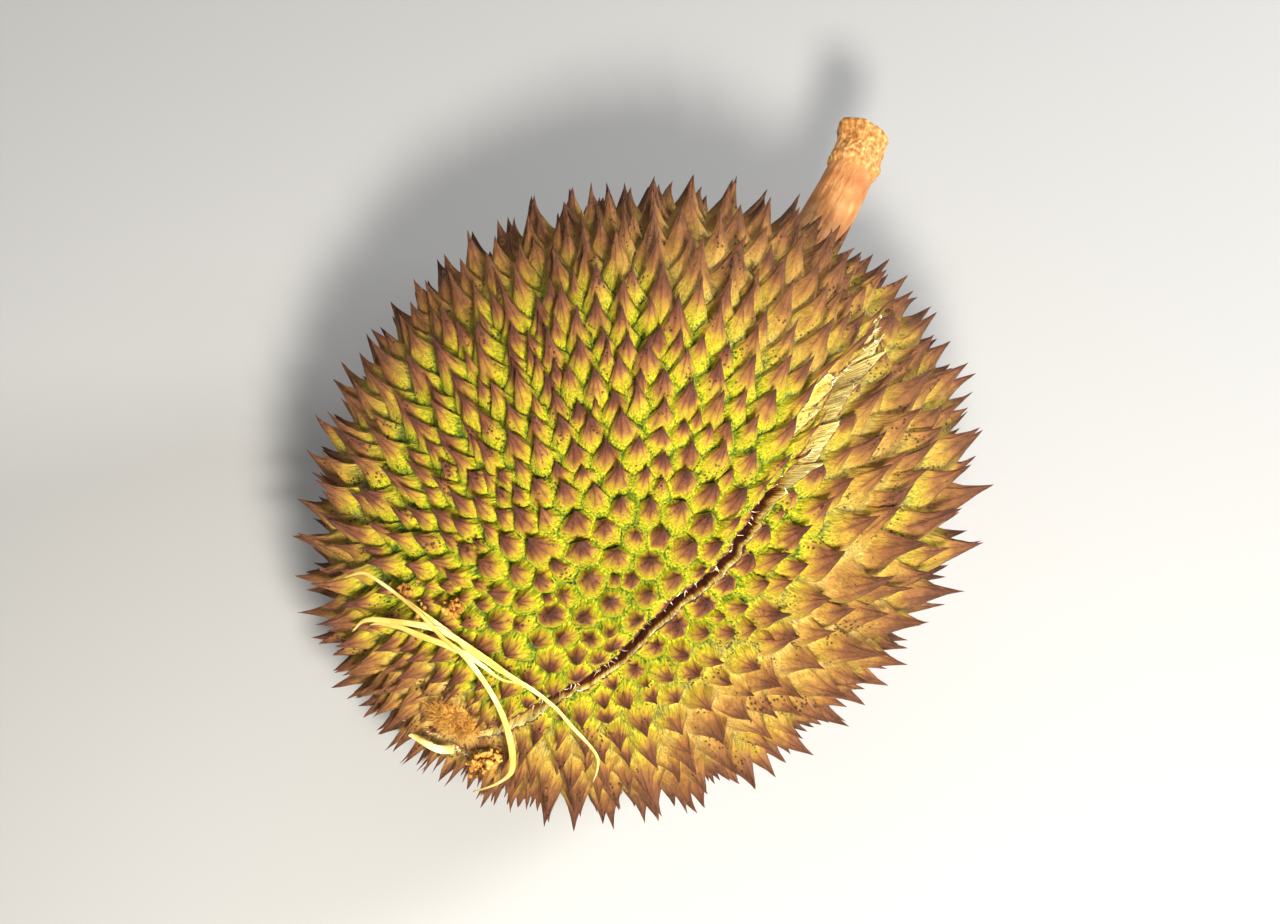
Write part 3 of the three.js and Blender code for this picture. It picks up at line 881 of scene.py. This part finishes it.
def makeStalk():
    rows, sides = stalkShape["rows"], stalkShape["sides"]
    stations = np.array(stalkShape["route"]) + middle
    points, length = smoothPath(stations, rows)
    along, across, up = frames(points, np.tile([0, 0, 1.0], (rows, 1)))
    share = np.linspace(0, 1, rows)
    spots, radii = zip(*stalkShape["profile"])
    radius = np.interp(share, spots, radii) * 0.001
    angle = np.linspace(0, 2 * math.pi, sides, endpoint=False)
    rings, place = [], []
    for row in range(rows):
        s = share[row]
        knob = float(smooth(0.74, 0.82, np.array(s)))
        ring, spot = [], []
        for a in angle:
            direction3 = Vector((math.cos(a) * 1.3, math.sin(a) * 1.3, s * 2.2))
            bark = 0.00018 * noise.noise(Vector((math.cos(a) * 7, math.sin(a) * 7, s * 4)))
            lumps = 0.00045 * noise.noise(direction3 * 2.1 + Vector((4, 1, 7)))
            torn = knob * 0.0007 * noise.noise(Vector((math.cos(a) * 2, math.sin(a) * 2, s * 14)))
            torn += knob * 0.00025 * noise.noise(Vector((math.cos(a) * 7, math.sin(a) * 7, s * 44)))
            flare = knob * 0.0016 * math.cos(a - 2.4) * float(smooth(0.9, 0.97, np.array(s)))
            r = radius[row] + bark + lumps + torn + flare
            ring.append(points[row] + across[row] * r * math.cos(a) + up[row] * r * math.sin(a))
            spot.append((math.cos(a) * 7, math.sin(a) * 7, s * length * 1000))
        rings.append(ring)
        place.append(spot)
    mesh = loftMesh("stalk", rings, np.array(place, float))
    layer = mesh.attributes.new("along", "FLOAT", "POINT")
    layer.data.foreach_set("value", np.concatenate([np.repeat(share, sides), [0, 1]]))
    return mesh


def makeStalkMaterial():
    material, tree, shader = startMaterial("stalk bark", Specular_IOR_Level=0.35)
    place = put(tree, "Attribute", attribute_name="place").outputs["Vector"]
    along = attribute(tree, "along")
    stretched = put(tree, "VectorMath", {0: place, 1: (1, 1, 0.16)}, operation="MULTIPLY").outputs[0]
    fibres = useGroup(tree, fibreGroup, Place=stretched, Scale=0.9)
    blotches = useGroup(tree, blotchGroup, Place=place, Scale=0.16)
    specks = useGroup(tree, speckGroup, Place=place, Scale=2.6, Size=0.3, Cluster_Scale=0.5)["Mask"]
    base = ramp(tree, blotches["Broad"], [(0.3, "#9f5f2e"), (0.5, "#b77840"), (0.68, "#cd9960")])
    knobShade = ramp(tree, blotches["Small"], [(0.3, "#8a4f1d"), (0.5, "#c08640"), (0.7, "#e0b878")])
    shade = mixed(tree, stepped(tree, along, 0.73, 0.8), base, knobShade)
    shade = mixed(tree, maths(tree, "MULTIPLY", fibres["Streaks"], 0.35), shade, colour("#8f5526"))
    shade = mixed(tree, maths(tree, "MULTIPLY", specks, 0.6), shade, colour("#4f2c12"))
    rough = put(tree, "MapRange", {0: fibres["Grain"], 3: 0.55, 4: 0.8}).outputs[0]
    height = maths(tree, "ADD", fibres["Streaks"], maths(tree, "MULTIPLY", blotches["Small"], 1.4))
    finishMaterial(tree, shader, shade, rough, height, 0.6, 0.0004)
    return material


stalkMesh = makeStalk()
stalkMesh.materials.append(makeStalkMaterial())
stalk = addPiece("stalk_bark", stalkMesh, "stalk")
print("stalk done")


# Raffia strips

stripShape = {
    "width": 0.0018,
    "thickness": 0.00028,
    "full": 0.86,  # share of the width that the ribbon fills
    "gutter": 0.00016,  # how far it cups across
    "reach": 1.14,  # height it rides at, as a share of the spikes under it
    "clear": 0.00085,
}
spikeHeights = (11.6, 14.4, 8.0, 11.2, 9.8)  # usual, coarse, fine, stalk end, blossom end
stripRoutes = {
    "raffia_strip_1": [
        (140.9, 46, 0.9), (140.1, 50.4, 1.5), (139.7, 54, 1.7), (140.7, 60.1, 1.7), (142.1, 67.9, 1.7),
        (143.5, 76.6, 2.1), (144.9, 84.1, 2.5), (145.8, 90.7, 2.2), (147.8, 97.5, 1.5), (149.8, 103.7, 1),
        (152.3, 111.6, 0.7), (155, 119.8, 0.5), (157.9, 129.2, 0.3), (160.8, 138.5, 0.1),
        (164.5, 146.3, -0.3), (168.4, 156.7, -0.7), (171.8, 178.6, -1.2),
    ],
    "raffia_strip_2": [
        (149.8, 46, 0), (147.6, 52.9, 0.6), (146.6, 64.3, 0.6), (145.5, 73.6, 0.6), (144.8, 80, 0.5),
        (144.7, 84, 0.5), (144.9, 91.6, 0.6), (145.3, 99.8, 0.7), (145.7, 106.5, 0.7), (145.6, 113, 0.6),
        (145.8, 122.4, 0.4), (146.3, 130.7, 0.2), (146.1, 138.5, 0.2), (146.2, 143.8, 0),
        (147.5, 148.9, -0.2), (149.3, 154.2, -0.6),
    ],
    "raffia_strip_3": [
        (148.6, 53.6, -0.6), (147.9, 58, -0.3), (147.5, 65.8, -0.2), (147.5, 73.5, -0.2), (147.1, 81.6, -0.2),
        (146.6, 89.5, 0), (146.9, 97.1, 0.1), (147.4, 103.4, 0), (147, 106.7, -0.2), (146.3, 108.9, -0.5),
    ],
    "raffia_strip_4": [
        (142, 62.5, 0.2), (143.2, 71, 0.2), (144.6, 79.5, -0.5), (145.4, 86, -1), (146.3, 91.3, -1.1),
        (146.3, 96.1, -1), (146.7, 100.7, -1.1), (146.9, 104.8, -1.2), (147.1, 109.1, -1.3),
    ],
}


def makeStripMaterial():
    material, tree, shader = startMaterial("raffia", Specular_IOR_Level=0.5)
    place = put(tree, "Attribute", attribute_name="place").outputs["Vector"]
    stretched = put(tree, "VectorMath", {0: place, 1: (1, 0.05, 1)}, operation="MULTIPLY").outputs[0]
    fibres = useGroup(tree, fibreGroup, Place=stretched, Scale=5.0)
    blotches = useGroup(tree, blotchGroup, Place=place, Scale=0.12)
    base = ramp(tree, blotches["Broad"], [(0.32, "#c9a140"), (0.5, "#e0c466"), (0.68, "#efdf9c")])
    shade = mixed(tree, maths(tree, "MULTIPLY", fibres["Streaks"], 0.35), base, colour("#b08a35"))
    rough = put(tree, "MapRange", {0: fibres["Grain"], 3: 0.4, 4: 0.65}).outputs[0]
    finishMaterial(tree, shader, shade, rough, fibres["Streaks"], 0.5, 0.0002)
    return material


def makeStrip(name, route, material):
    alpha, beta, lift = (np.array(v, float) for v in zip(*route))
    dirs = direction(alpha, beta)
    tips = stripShape["reach"] * blendPatches(dirs, *spikeHeights) + lift
    stations = surfacePoint(dirs, tips * 0.001 + stripShape["clear"])
    rows = 90
    points, length = smoothPath(stations, rows)
    along, across, up = frames(points, points - middle)
    share = np.linspace(0, 1, rows)
    taper = np.minimum(1, np.minimum(0.2 + share * 6, 0.15 + (1 - share) * 4)) * stripShape["full"]
    seed = len(name) + route[0][0]
    rings, place = [], []
    sides = 14
    for row in range(rows):
        twist = 0.35 * math.sin(share[row] * 5 + seed)
        side = across[row] * math.cos(twist) + up[row] * math.sin(twist)
        lid = up[row] * math.cos(twist) - across[row] * math.sin(twist)
        width = stripShape["width"] * taper[row] * (0.93 + 0.07 * math.sin(share[row] * 23 + seed))
        ring, spot = [], []
        for k in range(sides):
            a = 2 * math.pi * k / sides
            x = math.cos(a)
            y = math.sin(a) * stripShape["thickness"] / 2 - stripShape["gutter"] * x * x
            ring.append(points[row] + side * x * width / 2 + lid * y)
            spot.append((x * 0.9, share[row] * length * 1000, math.sin(a) * 0.4 + seed))
        rings.append(ring)
        place.append(spot)
    mesh = loftMesh(name, rings, np.array(place, float))
    mesh.materials.append(material)
    piece = addPiece(name.replace("raffia", "straw"), mesh, name)


stripMaterial = makeStripMaterial()
for stripName, stripRoute in stripRoutes.items():
    makeStrip(stripName, stripRoute, stripMaterial)
print("raffia strips done")


# Loose fibres

def hairMesh(name, hairs, material):
    points, faces = [], []
    rows, sides = 4, 3
    for root, out, length, radius in hairs:
        out = Vector(out).normalized()
        side = out.orthogonal().normalized()
        other = out.cross(side)
        curl = Vector(random.normal(0, 0.35, 3))
        start = len(points)
        for row in range(rows):
            s = row / rows
            centre = Vector(root) + out * length * s + curl * length * s * s
            r = radius * (1 - s * 0.75)
            for k in range(sides):
                a = 2 * math.pi * k / sides
                points.append(centre + side * r * math.cos(a) + other * r * math.sin(a))
        points.append(Vector(root) + out * length + curl * length)
        for row in range(rows - 1):
            for k in range(sides):
                a, b = start + row * sides + k, start + row * sides + (k + 1) % sides
                faces.append((a, b, b + sides, a + sides))
        top = start + (rows - 1) * sides
        faces += [(top + k, top + (k + 1) % sides, top + sides) for k in range(sides)]
        faces.append((start + 2, start + 1, start))
    mesh = bpy.data.meshes.new(name)
    mesh.from_pydata(points, [], faces)
    mesh.materials.append(material)
    return mesh


def makeFibreMaterial(name, stops):
    material, tree, shader = startMaterial(name, Specular_IOR_Level=0.3)
    coords = put(tree, "TexCoord").outputs["Object"]
    blotches = useGroup(tree, blotchGroup, Place=coords, Scale=160.0)
    shade = ramp(tree, blotches["Broad"], stops)
    rough = put(tree, "MapRange", {0: blotches["Small"], 3: 0.6, 4: 0.85}).outputs[0]
    finishMaterial(tree, shader, shade, rough, blotches["Small"], 0.4, 0.0002)
    return material


scarShape = {"height": 0.0015, "sizes": (0.006, 0.0042, 0.0025), "threads": 900, "length": 0.0021}
crumbShape = {
    "places": ((172.6, 165, 0.0045), (171, 158, 0.005), (168.3, 144, 0.005), (142, 63, 0.0065),
               (142.2, 80, 0.006), (145.4, 69.5, 0.0065), (174, 196, 0.004)),
    "each": 26,
    "size": 0.00042,
    "spread": 0.0019,
}
lipShape = {
    "threads": 260,
    "length": 0.0016,
    "edge": ((170.9, -15.8, 0.0052), (174.6, -7, 0.0055), (177.6, 8, 0.0058), (179, 70, 0.0056),
             (177.6, 138, 0.0045)),
}


def lumpMesh(name, lumps, detail, rough, pitch):
    bm = bmesh.new()
    for place, turn, sizes in lumps:
        made = bmesh.ops.create_icosphere(bm, subdivisions=detail, radius=1.0)["verts"]
        for v in made:
            grain = noise.fractal(v.co * pitch + Vector(place) * 3000, 1.0, 2.1, 3)
            v.co = turn @ Vector(v.co[k] * sizes[k] * (1 + rough * grain) for k in range(3)) + Vector(place)
    mesh = bpy.data.meshes.new(name)
    bm.to_mesh(mesh)
    bm.free()
    mesh.polygons.foreach_set("use_smooth", np.ones(len(mesh.polygons), bool))
    return mesh


def scarPlace():
    dirs = direction(*fruit["scar"])
    root = surfacePoint(dirs, np.array(scarShape["height"]))
    out = Vector(surfacePoint(dirs, np.array(0.01)) - root).normalized()
    along = Vector(unit(np.cross(dirs, [1.0, 0, 0])))
    turn = Matrix((along, out.cross(along), out)).transposed()
    return root, turn


def scarFibres(root, turn):
    hairs = []
    for _ in range(scarShape["threads"]):
        spot = Vector(random.normal(0, 1, 3)).normalized()
        spot.z = abs(spot.z)
        at = turn @ Vector(spot[k] * scarShape["sizes"][k] for k in range(3))
        out = turn @ (spot + Vector(random.normal(0, 0.6, 3)))
        hairs.append((Vector(root) + at, out, scarShape["length"] * random.uniform(0.4, 1.1),
                      0.00013 * random.uniform(0.6, 1.5)))
    return hairs


def crumbs():
    lumps = []
    for alpha, beta, height in crumbShape["places"]:
        centre = surfacePoint(direction(alpha, beta), np.array(height))
        for _ in range(crumbShape["each"]):
            place = centre + random.normal(0, crumbShape["spread"] * 0.6, 3)
            size = crumbShape["size"] * random.uniform(0.5, 1.6)
            sizes = size * random.uniform(0.6, 1.4, 3)
            lumps.append((place, Matrix.Rotation(random.uniform(0, 6), 3, "Z"), sizes))
    return lumps


def lipFibres():
    hairs = []
    for pick in random.integers(0, len(lipPlaces), lipShape["threads"]):
        cut, spot, side = lipPlaces[pick]
        if side > 0 and random.uniform() < 0.6:
            continue
        chart = np.array([spot, spot + Vector((0, -side * 0.001, 0.0012))])
        root, toward = fromChart(cut, chart)
        out = Vector(toward - root).normalized() + Vector(random.normal(0, 0.5, 3))
        hairs.append((root, out, lipShape["length"] * random.uniform(0.3, 1.2),
                      0.0001 * random.uniform(0.6, 1.6)))
    return hairs


scarMaterial = makeFibreMaterial("scar fibres", [(0.3, "#80501e"), (0.5, "#b38033"), (0.7, "#dcb362")])
crumbMaterial = makeFibreMaterial("crumbs", [(0.3, "#83501c"), (0.5, "#b98030"), (0.7, "#e3bb62")])
lipMaterial = makeFibreMaterial("torn fibres", [(0.3, "#d9c48a"), (0.5, "#f1e3b6"), (0.7, "#fff8e0")])


def fleshLip():
    stations = [surfacePoint(direction(a, b), np.array(h)) for a, b, h in lipShape["edge"]]
    points, length = smoothPath(stations, 40)
    along, across, up = frames(points, points - middle)
    rings = []
    for row, share in enumerate(np.linspace(0, 1, 40)):
        tall = 0.0004 + 0.0008 * share ** 0.8
        ring = []
        for k in range(16):
            a = 2 * math.pi * k / 16
            y = math.sin(a)
            edge = 1 + 0.18 * noise.noise(Vector((share * 14, y * 2, 3)))
            offset = across[row] * 0.0006 * math.cos(a) + up[row] * (y - 0.8) * tall
            ring.append(points[row] + offset * edge)
        rings.append(ring)
    return loftMesh("flesh_lip", rings)


scarRoot, scarTurn = scarPlace()
scarCore = lumpMesh("scar_core", [(scarRoot, scarTurn, scarShape["sizes"])], 5, 0.3, 9.0)
scarCore.materials.append(scarMaterial)
addPiece("scar_core", scarCore)
addPiece("scar_fibres", hairMesh("scar_fibres", scarFibres(scarRoot, scarTurn), scarMaterial))
crumbMesh = lumpMesh("crumbs", crumbs(), 2, 0.9, 2.2)
crumbMesh.materials.append(crumbMaterial)
addPiece("dry_crumbs", crumbMesh)
lipMesh = fleshLip()
fleshMaterial = makeFibreMaterial("cut flesh", [(0.3, "#c9a452"), (0.5, "#e6cc80"), (0.7, "#f7e9b4")])
lipMesh.materials.append(fleshMaterial)
addPiece("flesh_lip", lipMesh)
addPiece("lip_fibres", hairMesh("lip_fibres", lipFibres(), lipMaterial))
print("scar, crumbs and torn fibres done")


# Camera, light, floor

cameraSet = {
    "azimuth": -57.25,
    "elevation": 61.48,
    "distance": 0.56,
    "lens": 62.85,
    "raise": 0.0075,
    "right": 0.0018,
}
lightSet = {
    "key": {"at": (0.04, -0.09, 0.47), "size": 0.06, "energy": 5.4, "tint": (1, 0.97, 0.9)},
    "side": {"at": (0.8, 0.32, 0.24), "size": 0.22, "energy": 10, "tint": (0.95, 0.97, 1)},
    "front": {"at": (0.1, -0.6, 0.6), "size": 0.6, "energy": 1.8, "tint": (1, 0.99, 0.96)},
    "left": {"at": (-0.6, 0.2, 0.5), "size": 0.8, "energy": 0.9, "tint": (1, 1, 1)},
    "far": {"at": (-0.1, 0.9, 0.1), "size": 0.8, "energy": 3, "tint": (1, 1, 1)},
}


def cameraAxes():
    az, el = math.radians(cameraSet["azimuth"]), math.radians(cameraSet["elevation"])
    back = Vector((math.cos(el) * math.sin(az), -math.cos(el) * math.cos(az), math.sin(el)))
    right = Vector((0, 0, 1)).cross(back).normalized()
    return right, back.cross(right), back


def placeCamera():
    right, up, back = cameraAxes()
    place = Vector(fruit["middle"]) + back * cameraSet["distance"]
    aim = Vector(fruit["middle"]) + up * cameraSet["raise"] + right * cameraSet["right"]
    camera = bpy.data.objects.new("camera", bpy.data.cameras.new("camera"))
    camera.data.lens = cameraSet["lens"]
    camera.data.sensor_width = 36
    camera.location = place
    camera.rotation_euler = (aim - place).to_track_quat("-Z", "Y").to_euler()
    bpy.context.scene.collection.objects.link(camera)
    bpy.context.scene.camera = camera


def placeLights():
    right, up, back = cameraAxes()
    for name, light in lightSet.items():
        lamp = bpy.data.objects.new(name, bpy.data.lights.new(name, "AREA"))
        lamp.data.energy, lamp.data.size, lamp.data.color = light["energy"], light["size"], light["tint"]
        x, y, z = light["at"]
        lamp.location = Vector(fruit["middle"]) + right * x + up * y + back * z
        lamp.rotation_euler = (Vector(fruit["middle"]) - lamp.location).to_track_quat("-Z", "Y").to_euler()
        bpy.context.scene.collection.objects.link(lamp)


def makeFloor():
    mesh = bpy.data.meshes.new("floor")
    mesh.from_pydata([(-3, -3, 0), (3, -3, 0), (3, 3, 0), (-3, 3, 0)], [], [(0, 1, 2, 3)])
    floor = bpy.data.objects.new("floor", mesh)
    bpy.context.scene.collection.objects.link(floor)
    material, tree, shader = startMaterial("floor", Roughness=0.9, Specular_IOR_Level=0.2)
    shader.inputs["Base Color"].default_value = (0.4, 0.392, 0.38, 1)
    mesh.materials.append(material)


def makeWorld():
    world = bpy.data.worlds.new("studio")
    world.use_nodes = True
    world.node_tree.nodes["Background"].inputs["Color"].default_value = (0.9, 0.93, 1, 1)
    world.node_tree.nodes["Background"].inputs["Strength"].default_value = 0.12
    bpy.context.scene.world = world
    bpy.context.scene.view_settings.view_transform = "Standard"


placeCamera()
placeLights()
makeFloor()
makeWorld()
